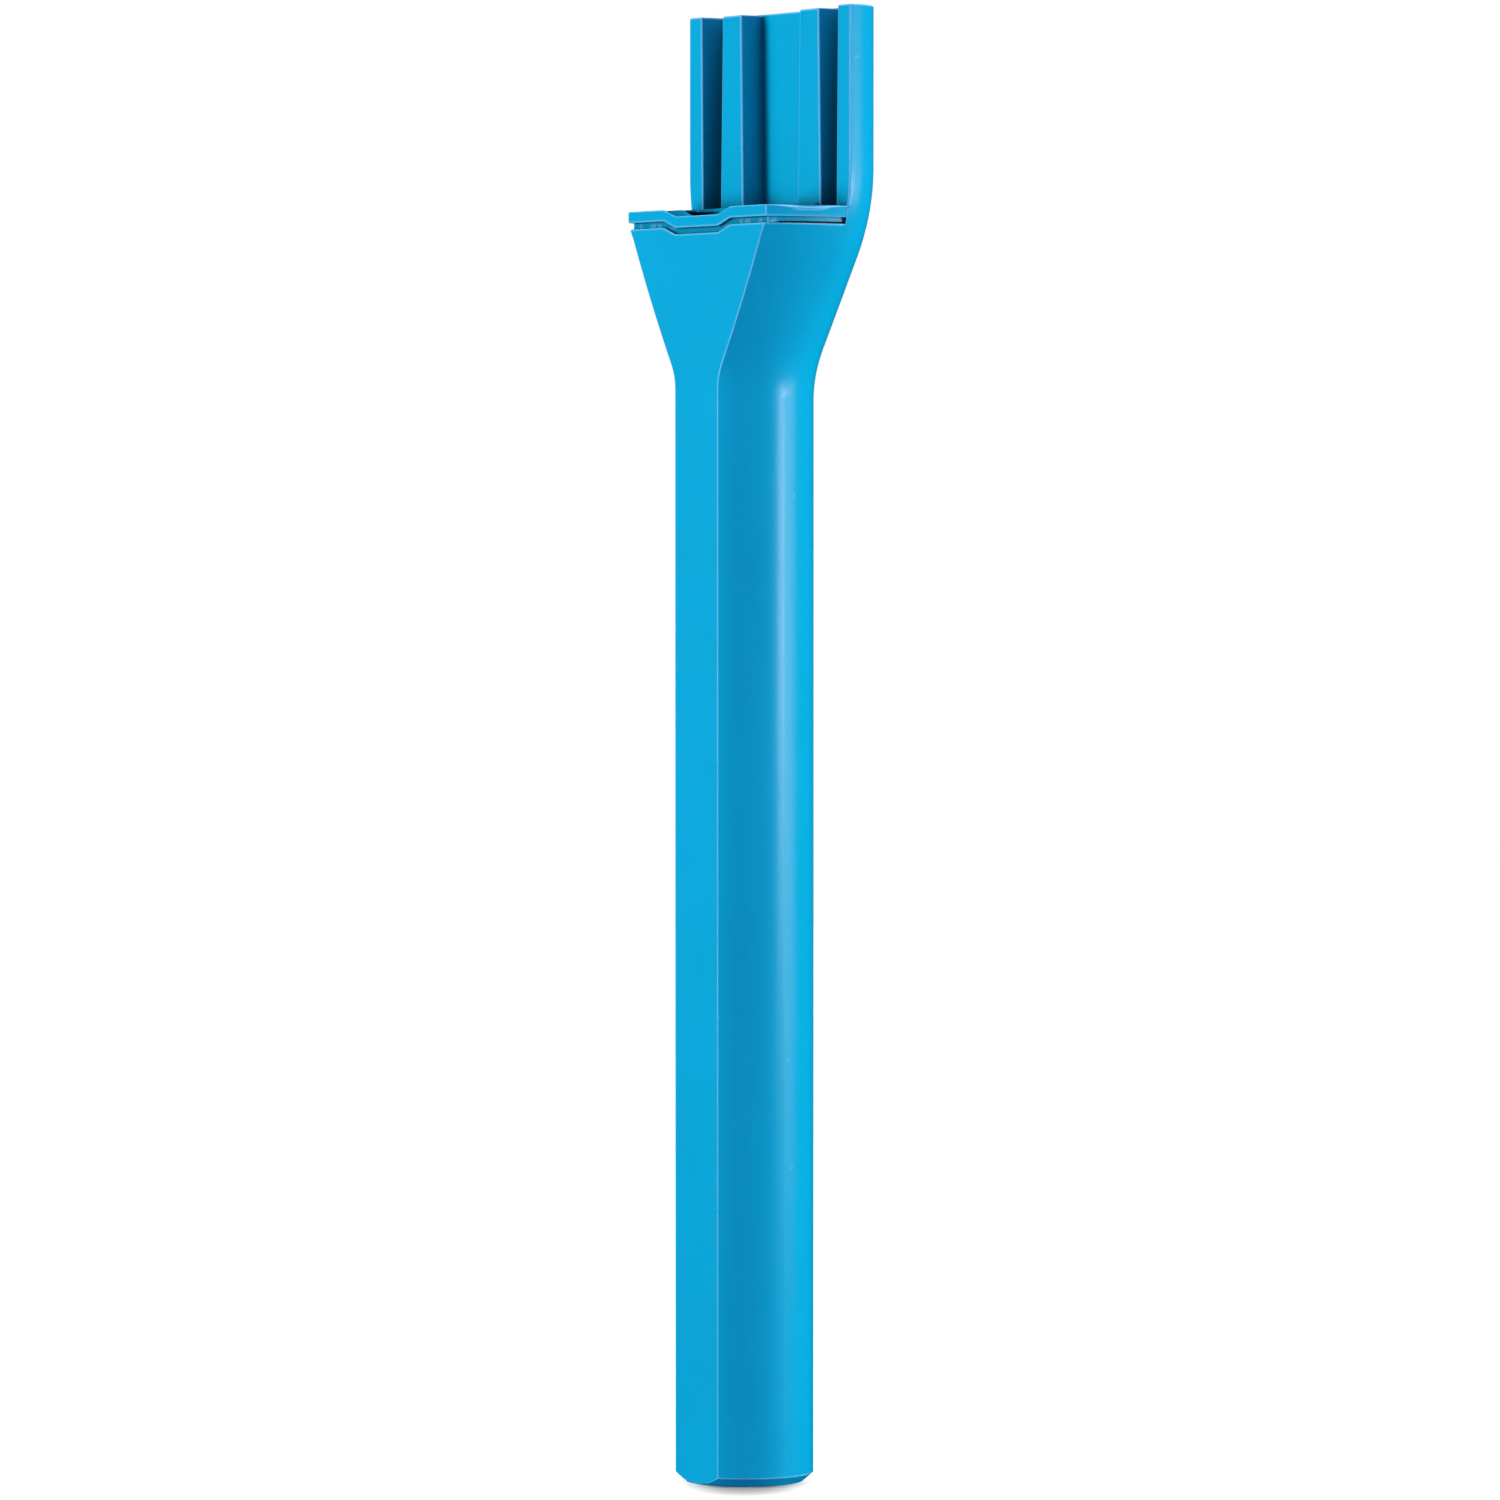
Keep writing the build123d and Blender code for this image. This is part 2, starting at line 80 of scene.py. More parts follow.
# %% Name the shape's own values
HANDLE_R = 22.0
FACET_Y = 18.6                     # the flat facet, in front of the axis
FACET_HALF = 11.75
END_CONE, END_CONE_H = 3.5, 2.9     # how far the foot is coned in, and how high
WALL = 2.4
FACET_WALL = 1.6
FLARE_Z, FLARE_END_Z = 344.0, 416.5    # the round widens between these heights
EASE_LOW, EASE_HIGH = 16.0, 28.0    # over this much height it bends in and out
FACET_FLARE_Z, FACET_EASE = 347.5, 8.0
FACET_SLOPE, FACET_BEND, FACET_MAX = 0.6, 0.00165, 39.5
CORNER_R, CORNER_Y, CROWN = 14.0, 11.3, 1.0    # the plate's rear corners and its bulge
FRONT_Y = 9.4                      # front plane of the side walls
GROOVE_Y = 20.4                    # floor of the two deep grooves
WALL_IN_TOP, WALL_IN_LOW = 37.5, 36.7    # inner faces of the side walls
COLLAR_HALF, COLLAR_H = 38.3, 3.6
SLOT_DEPTH = FACET_Y + seal_low.y - 0.1     # the gasket stands 0.1 mm behind the slot's inner wall
DIP, DIP_TOP, DIP_LOW, DIP_SOFT = 2.3, 18.4, 11.8, 0.7    # depth, half-widths, softened corners
CUP_TOP = (34.1, 36.8, 12.4, 6.0, 5.0)      # half-width in front and behind, front, rear, corner radius
EDGE = 0.6                         # how wide a rounded edge looks
print("handle", 2 * HANDLE_R, "mm round, flare from", FLARE_Z, "to", FLARE_END_Z, "mm")

# %% [markdown]
# ## Stage, light and camera
# Glossy plastic in a studio takes two kinds of panel. Large soft ones fill from both sides, so that the
# flat facet and the round each get their own tone and the edge between them stays readable. Narrow ones
# are seen only in the gloss, and draw the long highlight down the handle. One kind could do both, but
# then a brighter highlight would also wash out the colour. The camera stands far away with a long lens,
# a little above the middle of the wand, so upright lines stay upright.

# %% Camera
VIEW_AZIMUTH = math.radians(55)
EYE_DISTANCE, EYE_HEIGHT = 2.575, 0.3007
AIM_HEIGHT, AIM_RIGHT = 0.2328, 0.00175

toward_eye = Vector((math.sin(VIEW_AZIMUTH), -math.cos(VIEW_AZIMUTH), 0))
right_hand = Vector((math.cos(VIEW_AZIMUTH), math.sin(VIEW_AZIMUTH), 0))


def aimed(thing, place, target):
    """Puts a camera or lamp at a place, looking at a target."""
    thing.location = place
    thing.rotation_euler = (Vector(target) - Vector(place)).to_track_quat("-Z", "Y").to_euler()
    bpy.context.scene.collection.objects.link(thing)
    return thing


camera_data = bpy.data.cameras.new("camera")
camera_data.lens = 194.45
camera_data.sensor_width = 36.0
eye = toward_eye * EYE_DISTANCE + Vector((0, 0, EYE_HEIGHT))
target = right_hand * AIM_RIGHT + Vector((0, 0, AIM_HEIGHT))
camera = aimed(bpy.data.objects.new("camera", camera_data), eye, target)
bpy.context.scene.camera = camera
print("camera at", [round(v, 3) for v in camera.location])


# %% Lamps
def softbox(name, angle, distance, height, wide, tall, power, aim_height, fills=True):
    """A soft panel. The angle is counted from the camera's side of the wand, positive to its right.

    A panel that fills gives the even light, and one that doesn't is only seen in the gloss.
    """
    lamp = bpy.data.lights.new(name, "AREA")
    lamp.shape = "RECTANGLE"
    lamp.size, lamp.size_y = wide, tall
    lamp.energy = power
    turn = VIEW_AZIMUTH + math.radians(angle)
    place = Vector((math.sin(turn) * distance, -math.cos(turn) * distance, height))
    panel = aimed(bpy.data.objects.new(name, lamp), place, (0, 0, aim_height))
    panel.visible_camera, panel.visible_diffuse, panel.visible_glossy = False, fills, not fills
    return panel


# name, angle, distance, height, width, tallness, power and the height aimed at
softbox("key_left", -72, 1.5, 0.45, 0.5, 0.9, 23, 0.25)
softbox("key_right", 80, 1.5, 0.28, 0.6, 0.5, 27, 0.25)
softbox("table_top", 0, 0.05, 1.6, 1.2, 1.2, 8, 0.0)
softbox("strip_right", 66, 1.2, 0.29, 0.34, 0.22, 1.7, 0.29, fills=False)
softbox("strip_left", -83, 1.2, 0.36, 0.10, 0.9, 1.5, 0.36, fills=False)
softbox("strip_over", 66, 0.7, 1.3, 0.5, 0.5, 5.0, 0.40, fills=False)
print("lamps:", [lamp.name for lamp in bpy.data.lights])

# %% [markdown]
# The backdrop is white, as it is on paper, but a white room would light the wand from all sides and
# flatten it. So only the camera sees white, and the plastic is lit by a dim blue-grey room.

# %% The room
A_COLOUR, B_COLOUR, COLOUR_OUT = 6, 7, 2     # a Mix node's sockets when it mixes colours
world = bpy.data.worlds.new("white_room")
bpy.context.scene.world = world
world.use_nodes = True
room = world.node_tree
ROOM_LIGHT = (0.15, 0.30, 0.54, 1.0)         # dim blue-grey cloth all round; only the backdrop is white
seen = room.nodes.new("ShaderNodeLightPath")
shade = room.nodes.new("ShaderNodeMix")
shade.data_type = "RGBA"
shade.inputs[A_COLOUR].default_value = ROOM_LIGHT
shade.inputs[B_COLOUR].default_value = (1, 1, 1, 1)
room.links.new(seen.outputs["Is Camera Ray"], shade.inputs["Factor"])
room.links.new(shade.outputs[COLOUR_OUT], room.nodes["Background"].inputs["Color"])
world.cycles_visibility.glossy = False       # nothing of the room shows in the gloss
bpy.context.scene.view_settings.view_transform = "Standard"
print("room light:", ROOM_LIGHT[:3])

# %% [markdown]
# ## One way to write materials
# Every finish starts from a real one, with its colour as a designer would quote it (sRGB hex), and is
# built by adding nodes one at a time. A finish is never one flat value: gloss wanders a little over a
# moulding, the mould's fine spark-eroded grain breaks up highlights, and edges are painted lighter,
# partly for rubbing and partly as a painted highlight.


# %% Material helpers
def linear(hex_colour):
    """sRGB hex to the linear colour that shaders use."""
    channels = [int(hex_colour[i:i + 2], 16) / 255 for i in (1, 3, 5)]
    return [c / 12.92 if c <= 0.04045 else ((c + 0.055) / 1.055) ** 2.4 for c in channels] + [1.0]


def node(tree, kind, settings=None, **links):
    """Adds a node, sets its values, and links its inputs; a link is (node, output name)."""
    made = tree.nodes.new(kind)
    for key, value in (settings or {}).items():
        if hasattr(made, key):
            setattr(made, key, value)
        else:
            made.inputs[key].default_value = value
    for key, source in links.items():
        socket = made.inputs[int(key[1:])] if key[1:].isdigit() else made.inputs[key.replace("_", " ")]
        tree.links.new(source[0].outputs[source[1]], socket)
    return made


def new_material(name):
    material = bpy.data.materials.new(name)
    material.use_nodes = True
    tree = material.node_tree
    return material, tree, tree.nodes["Principled BSDF"]


def set_values(shader, values):
    for key, value in values.items():
        shader.inputs[key].default_value = value


print("middle grey in linear light:", round(linear("#808080")[0], 3))


# %% [markdown]
# ## Injection-moulded ABS
# The wand is ABS coloured in the mass with a bright blue masterbatch. ABS has an IOR near 1.54, and a
# fine satin mould gives a roughness near 0.26. The mould's grain is about a quarter of a
# millimetre, and the flow of the melt leaves a faint cloudiness. Edges are painted lighter, partly for
# rubbing in use and partly as a painted highlight. How much each point gets is kept on the mesh, because
# a guess from the shader tints the flats beside an edge too. The narrow recesses of the dock and the
# mouth get painted shade: ambient occlusion darkens their colour.


# %% ABS
# painted shade: above these heights, ambient occlusion darkens the colour in the recesses
PAINTED_SHADE_FROM_Z, PAINTED_SHADE_TO_Z = BODY_TOP_Z - 8, BODY_TOP_Z - 4
PAINTED_SHADE_LEFT = 0.25                            # share of the colour left in the deepest recess, as painted shade


def moulded_abs(name, base, worn_and_sheen, deep, roughness=0.26, grain_mm=0.25):
    material, tree, shader = new_material(name)
    set_values(shader, {"IOR": 1.54, "Roughness": roughness})
    place = node(tree, "ShaderNodeTexCoord")
    # melt flow: clouds some 40 mm across
    clouds = node(tree, "ShaderNodeTexNoise", {"Scale": 1 / 0.040, "Detail": 3.0, "Roughness": 0.5},
                  Vector=(place, "Object"))
    tint = node(tree, "ShaderNodeValToRGB", Fac=(clouds, "Fac"))
    tint.color_ramp.elements[0].position, tint.color_ramp.elements[1].position = 0.35, 0.65
    tint.color_ramp.elements[0].color = linear(deep)
    tint.color_ramp.elements[1].color = linear(base)
    # edges painted lighter, partly rubbing and partly a painted highlight: how much is kept on the mesh's
    # points
    edge = node(tree, "ShaderNodeAttribute", {"attribute_name": "edge_wear_and_sheen"})
    colour = node(tree, "ShaderNodeMix", {"data_type": "RGBA"})
    tree.links.new(edge.outputs["Fac"], colour.inputs["Factor"])
    tree.links.new(tint.outputs["Color"], colour.inputs[A_COLOUR])
    colour.inputs[B_COLOUR].default_value = linear(worn_and_sheen)
    # painted shade: ambient occlusion darkens the narrow recesses of the dock and of the mouth; the handle
    # gets none
    height = node(tree, "ShaderNodeSeparateXYZ", _0=(place, "Object"))
    upper = node(tree, "ShaderNodeMapRange", {"From Min": PAINTED_SHADE_FROM_Z * MM, "From Max": PAINTED_SHADE_TO_Z * MM,
                                              "To Min": 1.0, "To Max": PAINTED_SHADE_LEFT}, Value=(height, "Z"))
    hollow = node(tree, "ShaderNodeAmbientOcclusion", {"samples": 8, "Distance": 0.012})
    painted_shade = node(tree, "ShaderNodeMapRange", {"From Min": 0.40, "From Max": 0.80},
                 Value=(hollow, "AO"), To_Min=(upper, "Result"))
    colour_with_painted_shade = node(tree, "ShaderNodeVectorMath", {"operation": "SCALE"},
                   _0=(colour, COLOUR_OUT), Scale=(painted_shade, "Result"))
    tree.links.new(colour_with_painted_shade.outputs["Vector"], shader.inputs["Base Color"])
    # gloss: handling patches about 12 mm across
    handling = node(tree, "ShaderNodeTexNoise", {"Scale": 1 / 0.012, "Detail": 4.0}, Vector=(place, "Object"))
    gloss = node(tree, "ShaderNodeMapRange", {"To Min": roughness - 0.02, "To Max": roughness + 0.03},
                 Value=(handling, "Fac"))
    tree.links.new(gloss.outputs["Result"], shader.inputs["Roughness"])
    # mould grain
    grain = node(tree, "ShaderNodeTexNoise", {"Scale": 1 / (grain_mm * MM), "Detail": 2.0},
                 Vector=(place, "Object"))
    bump = node(tree, "ShaderNodeBump", {"Strength": 0.12, "Distance": 0.02 * MM}, Height=(grain, "Fac"))
    tree.links.new(bump.outputs["Normal"], shader.inputs["Normal"])
    return material


# the lighter second colour goes on the edges: partly rubbing, partly a painted highlight
blue_abs = moulded_abs("blue_abs_satin_moulded", "#02A0C2", "#7CC4E6", "#029DBE")
grey_abs = moulded_abs("grey_abs_moulded", "#4A4E52", "#6C7074", "#45494D", roughness=0.45)
print("made", blue_abs.name, "and", grey_abs.name)

# %% [markdown]
# ## Rubber, steel and nylon
# The gasket and the washer are nitrile rubber: black, soft and matt, with a bloom of fine powder. The
# screws are stainless steel with turned heads, dulled by pool water, so they aren't wholly a mirror. The
# strainer's cloth is woven from clear nylon thread. Each is one noise or wave at the scale of its real
# grain, which drives the colour, the roughness and the bump together.


# %% Rubber, steel, nylon
def nitrile_rubber(name):
    material, tree, shader = new_material(name)
    set_values(shader, {"IOR": 1.52, "Roughness": 0.7})
    place = node(tree, "ShaderNodeTexCoord")
    powder = node(tree, "ShaderNodeTexNoise", {"Scale": 1 / 0.0008, "Detail": 6.0},
                  Vector=(place, "Object"))
    tint = node(tree, "ShaderNodeValToRGB", Fac=(powder, "Fac"))
    tint.color_ramp.elements[0].color = linear("#0B0C0D")
    tint.color_ramp.elements[1].color = linear("#24262A")
    tree.links.new(tint.outputs["Color"], shader.inputs["Base Color"])
    rough = node(tree, "ShaderNodeMapRange", {"To Min": 0.6, "To Max": 0.85}, Value=(powder, "Fac"))
    tree.links.new(rough.outputs["Result"], shader.inputs["Roughness"])
    bump = node(tree, "ShaderNodeBump", {"Strength": 0.3, "Distance": 0.03 * MM}, Height=(powder, "Fac"))
    tree.links.new(bump.outputs["Normal"], shader.inputs["Normal"])
    return material


def turned_stainless(name):
    material, tree, shader = new_material(name)
    set_values(shader, {"Metallic": 0.7, "Roughness": 0.3})
    place = node(tree, "ShaderNodeTexCoord")
    lines = node(tree, "ShaderNodeTexWave",
                 {"wave_type": "RINGS", "rings_direction": "SPHERICAL",
                  "Scale": 1 / 0.0012, "Distortion": 0.4}, Vector=(place, "Object"))
    tint = node(tree, "ShaderNodeValToRGB", Fac=(lines, "Fac"))
    tint.color_ramp.elements[0].color = linear("#A9ADB0")
    tint.color_ramp.elements[1].color = linear("#C9CCCE")
    tree.links.new(tint.outputs["Color"], shader.inputs["Base Color"])
    rough = node(tree, "ShaderNodeMapRange", {"To Min": 0.22, "To Max": 0.38}, Value=(lines, "Fac"))
    tree.links.new(rough.outputs["Result"], shader.inputs["Roughness"])
    bump = node(tree, "ShaderNodeBump", {"Strength": 0.15, "Distance": 0.02 * MM}, Height=(lines, "Fac"))
    tree.links.new(bump.outputs["Normal"], shader.inputs["Normal"])
    return material


def woven_nylon(name):
    material, tree, shader = new_material(name)
    set_values(shader, {"IOR": 1.53, "Roughness": 0.4, "Transmission Weight": 0.35})
    place = node(tree, "ShaderNodeTexCoord")
    thread = node(tree, "ShaderNodeTexNoise", {"Scale": 1 / 0.0010, "Detail": 3.0},
                  Vector=(place, "Object"))
    tint = node(tree, "ShaderNodeValToRGB", Fac=(thread, "Fac"))
    tint.color_ramp.elements[0].color = linear("#C4CBD0")
    tint.color_ramp.elements[1].color = linear("#E4E9EC")
    tree.links.new(tint.outputs["Color"], shader.inputs["Base Color"])
    rough = node(tree, "ShaderNodeMapRange", {"To Min": 0.32, "To Max": 0.5}, Value=(thread, "Fac"))
    tree.links.new(rough.outputs["Result"], shader.inputs["Roughness"])
    bump = node(tree, "ShaderNodeBump", {"Strength": 0.2, "Distance": 0.03 * MM}, Height=(thread, "Fac"))
    tree.links.new(bump.outputs["Normal"], shader.inputs["Normal"])
    return material


black_rubber = nitrile_rubber("nitrile_rubber_moulded")
stainless = turned_stainless("stainless_steel_turned")
nylon = woven_nylon("nylon_thread_woven")
print("made", black_rubber.name, stainless.name, nylon.name)

# %% [markdown]
# ## The shared section
# Handle, flare and plate are one family of sections. From the middle of the facet round to the middle
# of the rear, a section is a straight line, a small rounded edge, a side arc, a corner arc and a
# crowned rear arc. Drawing every section with the same number of points lets plain quads join them, so
# the skin stays even and its highlights stay calm.


# %% How the section changes with height
def eased(z, start, ease):
    """A ramp with a soft start: a parabola over `ease`, then straight."""
    if z <= start:
        return 0.0
    if z < start + ease:
        return (z - start) ** 2 / (2 * ease)
    return z - start - ease / 2


def flare(z):
    """0 on the handle, 1 on the plate."""
    def rise(height):
        return eased(height, FLARE_Z, EASE_LOW) - eased(height, FLARE_END_Z - EASE_HIGH, EASE_HIGH)
    return min(1.0, rise(z) / rise(FLARE_END_Z))


def facet_half(z):
    """Half-width of the facet."""
    bend = max(0.0, z - FACET_FLARE_Z - FACET_EASE)
    wide = FACET_HALF + FACET_SLOPE * eased(z, FACET_FLARE_Z, FACET_EASE) - FACET_BEND * bend ** 2
    return min(wide, FACET_MAX)


print("facet", 2 * facet_half(0.0), "mm wide, and", round(2 * facet_half(BODY_TOP_Z), 1), "mm at the mouth")


# %% Half of a section, as points
N_FRONT, N_EDGE, N_SIDE, N_SPLIT, N_CORNER, N_REAR = 56, 5, 18, 3, 12, 16
SPLIT = N_FRONT + N_EDGE + N_SIDE      # index of the point in the plate's front plane


def arc(centre, radius, start, end, count, first=1):
    """Points along an arc, from number `first` to number `count`."""
    turns = [start + (end - start) * k / count for k in range(first, count + 1)]
    return [(centre[0] + radius * math.cos(a), centre[1] + radius * math.sin(a)) for a in turns]


def half_section(z, inset=0.0, facet_inset=None, front=None, round_r=None, split_y=None, end_y=None):
    """Right half of the section, from the middle of the facet to the middle of the rear.

    end_y stops it on the side, at that depth, for pieces that lie in front of the plate.
    """
    t = flare(z)
    rear_arc_r = ((PLATE_HALF - CORNER_R) ** 2 / CROWN + CROWN) / 2
    meet = math.atan2(rear_arc_r - CROWN, PLATE_HALF - CORNER_R)
    wide = HANDLE_R + (PLATE_HALF - HANDLE_R) * t
    corner = HANDLE_R + (CORNER_R - HANDLE_R) * t
    mid_y = CORNER_Y * t
    rear = mid_y + corner + CROWN * t - inset
    if round_r is not None:
        wide = corner = rear = round_r
        front = math.sqrt(max(round_r ** 2 - FACET_Y ** 2, 0.0))
    front = facet_half(z) if front is None else front
    full_y = min(FACET_Y, wide)
    side_r = ((wide - front) ** 2 + (mid_y + full_y) ** 2) / (2 * (wide - front))
    wide, corner, side_r = wide - inset, corner - inset, side_r - inset
    facet_y = -(full_y - (inset if facet_inset is None else facet_inset))
    side_x = wide - side_r
    lead = math.asin(max(-1.0, (facet_y - mid_y) / side_r))
    front_x = side_x + side_r * math.cos(lead)
    turn = math.pi / 2 + lead
    edge_r = min(EDGE, front_x * 0.5) / max(turn, 0.2)
    back_off = edge_r * math.tan(turn / 2)

    points = [((front_x - back_off) * k / N_FRONT, facet_y) for k in range(N_FRONT + 1)]
    points += arc((front_x - back_off, facet_y + edge_r), edge_r, -math.pi / 2, lead, N_EDGE)
    start = lead + back_off / side_r
    if end_y is not None:
        return points + arc((side_x, mid_y), side_r, start, math.asin((end_y - mid_y) / side_r), N_SIDE)
    split_y = FRONT_Y / flare(BODY_TOP_Z) * t if split_y is None else split_y
    split = math.asin(min(0.0, split_y - mid_y) / side_r) if split_y < mid_y else -0.01
    points += arc((side_x, mid_y), side_r, start, split, N_SIDE)
    points += arc((side_x, mid_y), side_r, split, 0.0, N_SPLIT)
    points += arc((wide - corner, mid_y), corner, 0.0, meet, N_CORNER)
    rear_r = rear_arc_r * t + corner if t else corner
    last = points[-1]
    if t:
        rear_r = (last[0] ** 2 + (rear - last[1]) ** 2) / (2 * (rear - last[1]))
    centre = (0.0, rear - rear_r)
    begin = math.atan2(last[1] - centre[1], last[0])
    return points + arc(centre, rear_r, begin, math.pi / 2, N_REAR)


def whole(half):
    """A half section and its mirror image: a closed ring."""
    return half + [(-x, y) for x, y in reversed(half[1:-1])]


print("a ring has", len(whole(half_section(100.0))), "points")


# %% [markdown]
# The finger dip is one more formula. It is cut into the collar and into the mouth below it by lowering
# the rings there, which keeps the slot between them even. Its corners are softened by averaging.

# %% Dip in the collar and in the mouth below it
MOUTH_DIP_Y, COLLAR_DIP_Y = -15, -10         # the dip is only in front of these depths


def dip(x):
    """Depth of the finger dip at a distance from the middle, its corners softened over DIP_SOFT."""
    near = [abs(x + DIP_SOFT * k / 3) for k in range(-3, 4)]
    return DIP * sum(min(1.0, max(0.0, (DIP_TOP - at) / (DIP_TOP - DIP_LOW))) for at in near) / len(near)


print("finger dip:", round(dip(0.0), 2), "mm in the middle,", round(dip(DIP_TOP), 2), "mm at its end")

# %% [markdown]
# ## From rings to a closed skin
# Rings of equal length are joined by quads. Corners where a ring has shrunk to a point are welded, and
# the flat faces left open are filled last. Edges sharper than 40 degrees stay crisp, and every other
# edge is shaded smooth, weighted by face area so that flats look flat.


# %% Skin helpers
def add_ring(mesh, points, heights):
    """Vertices for a ring; heights is one number or a function of x and y."""
    level = heights if callable(heights) else lambda x, y: heights
    return [mesh.verts.new((x, y, level(x, y))) for x, y in points]


def join(mesh, low, high, closed=True):
    """Quads between two rings, or two open rows, of equal length."""
    count = len(low)
    for k in range(count if closed else count - 1):
        after = (k + 1) % count
        mesh.faces.new((low[k], low[after], high[after], high[k]))


def weld(mesh):
    bmesh.ops.remove_doubles(mesh, verts=mesh.verts, dist=0.002)
    bmesh.ops.dissolve_degenerate(mesh, dist=0.001, edges=mesh.edges)


def fill_level(mesh, z):
    """Fills what is open at one height."""
    edges = [e for e in mesh.edges if e.is_boundary and all(abs(v.co.z - z) < 0.01 for v in e.verts)]
    made = bmesh.ops.triangle_fill(mesh, use_beauty=True, edges=edges, normal=(0, 0, 1))
    return len([f for f in made["geom"] if isinstance(f, bmesh.types.BMFace)])


WEAR_AND_SHEEN_FROM, WEAR_AND_SHEEN_TO, WEAR_AND_SHEEN_MOST = 0.75, 1.1, 0.7      # curvature in 1/mm that starts and ends the lighter edges, rubbed and painted highlight


def mark_wear_and_sheen(mesh):
    """Keeps, on each point, how strongly the skin is rounded there: that is where it gets rubbed, and where a
    highlight is painted.
    """
    wear_and_sheen = mesh.verts.layers.float.new("edge_wear_and_sheen")
    for edge in mesh.edges:
        if not edge.is_manifold or edge.calc_length() < 1e-4:
            continue
        across = sum(face.calc_area() for face in edge.link_faces) / 2 / edge.calc_length()
        curved = edge.calc_face_angle_signed(0.0) / max(across, 1e-4)
        share = min(1.0, max(0.0, (curved - WEAR_AND_SHEEN_FROM) / (WEAR_AND_SHEEN_TO - WEAR_AND_SHEEN_FROM)))
        for point in edge.verts:
            point[wear_and_sheen] = max(point[wear_and_sheen], WEAR_AND_SHEEN_MOST * share)


def finish_mesh(mesh, name, material, body, replaced, sharp_degrees=40):
    """Turns a bmesh in millimetres into a shaded piece that stands for a frame node."""
    bmesh.ops.recalc_face_normals(mesh, faces=mesh.faces)
    mark_wear_and_sheen(mesh)
    for edge in mesh.edges:
        edge.smooth = not edge.is_manifold or edge.calc_face_angle(0.0) < math.radians(sharp_degrees)
    for face in mesh.faces:
        face.smooth = True
    open_edges = sum(1 for e in mesh.edges if not e.is_manifold)
    bmesh.ops.scale(mesh, vec=(MM, MM, MM), verts=mesh.verts)
    data = bpy.data.meshes.new(name)
    mesh.to_mesh(data)
    mesh.free()
    piece = bpy.data.objects.new(name, data)
    bpy.context.scene.collection.objects.link(piece)
    data.materials.append(material)
    weighted = piece.modifiers.new("flat_faces_look_flat", "WEIGHTED_NORMAL")
    weighted.keep_sharp = True
    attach(piece, body)
    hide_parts(replaced)
    print(name, len(data.polygons), "faces,", open_edges, "open edges")


print("wear starts where an edge is rounded to", round(1 / WEAR_AND_SHEEN_FROM, 2), "mm or less")

# %% [markdown]
# ## The handle shell
# The outside climbs from the coned lower end to the mouth as whole rings. At the mouth the front part
# of each ring stops and turns inwards over the ledge under the collar, while the rear part climbs on
# as the docking plate. Inside, the same sections, set in by the wall, come back down to the end wall.


# %% Heights of the rings
def spread(low, high, step):
    count = max(1, round((high - low) / step))
    return [low + (high - low) * k / count for k in range(count + 1)]


CONE_R = 0.8                               # rounding where the cone meets the handle
ROUND = 0.55                               # rounding of the plate's edges
HOLD = 0.4                                 # a ring this close to a rounding keeps the flat beside it flat
CONE_LEAN = math.atan2(END_CONE_H, END_CONE)
cone_top = END_CONE_H + CONE_R * math.tan((math.pi / 2 - CONE_LEAN) / 2)
FOOT_R = HANDLE_R - END_CONE
cone_rings = [(0.0, FOOT_R - 0.25), (0.12, FOOT_R + 0.12)]
cone_rings += [(END_CONE_H * share, FOOT_R + END_CONE * share) for share in (0.3, 0.6, 0.75)]
cone_rings += [(cone_top - CONE_R * math.sin(a), HANDLE_R - CONE_R + CONE_R * math.cos(a))
               for a in (math.pi / 2 - CONE_LEAN, math.radians(30), math.radians(15))]
handle_heights = [cone_top, cone_top + HOLD] + spread(cone_top + HOLD, FLARE_Z - 10, 10)[1:]
handle_heights += spread(FLARE_Z - 10, FLARE_Z, 2)[1:-1]
flare_heights = spread(FLARE_Z, BODY_TOP_Z - DIP - 1.2, 1.8)
print(len(cone_rings) + len(handle_heights) + len(flare_heights), "rings up to the mouth")


# %% [markdown]
# ## The pocket of the dock
# A tool slides down between the side walls and over the ribs. In plan, the pocket is one line: round the
# front edge of a wall, back into the groove, and out to the panel. A boolean cut would leave its edges
# sharp, so the line carries its own roundings, and the plate's rings follow it.

# %% Inner line of the plate
GROOVE_ROUND = 1.0
PANEL_LEAN, PANEL_GAP = 1.3, 0.4            # the panel narrows upwards, and starts beside the rib
PANEL_STEPS = 6


def pocket_half(z, corner_point, grow, round_r):
    """Half of the plate's inner line, from the outer front corner to the middle, set back by `grow`."""
    up = (z - BODY_TOP_Z) / (TOP_Z - BODY_TOP_Z)
    inner = WALL_IN_LOW + (WALL_IN_TOP - WALL_IN_LOW) * up + grow
    rib_side = rib_high.x - PANEL_LEAN * up - PANEL_GAP - grow
    front_y, groove_y, panel_y = FRONT_Y + grow, GROOVE_Y + grow, PANEL_Y + grow
    r = max(round_r - grow, 0.0)
    x = corner_point[0]
    line = arc((x - r, front_y + r), r, 0.0, -math.pi / 2, 5, first=0)
    line += [(x - SLOT_DEPTH, front_y)]
    line += [(inner + r + HOLD, front_y)]
    line += arc((inner + r, front_y + r), r, -math.pi / 2, -math.pi, 5, first=0)
    line += arc((inner - GROOVE_ROUND, groove_y - GROOVE_ROUND), GROOVE_ROUND, 0.0, math.pi / 2, 4, first=0)
    line += [(rib_side, groove_y), (rib_side, panel_y)]
    return line + [(rib_side * (1 - k / PANEL_STEPS), panel_y) for k in range(1, PANEL_STEPS + 1)]


print("pocket", 2 * WALL_IN_TOP, "mm wide at the top, grooves", GROOVE_Y - FRONT_Y, "mm deep")

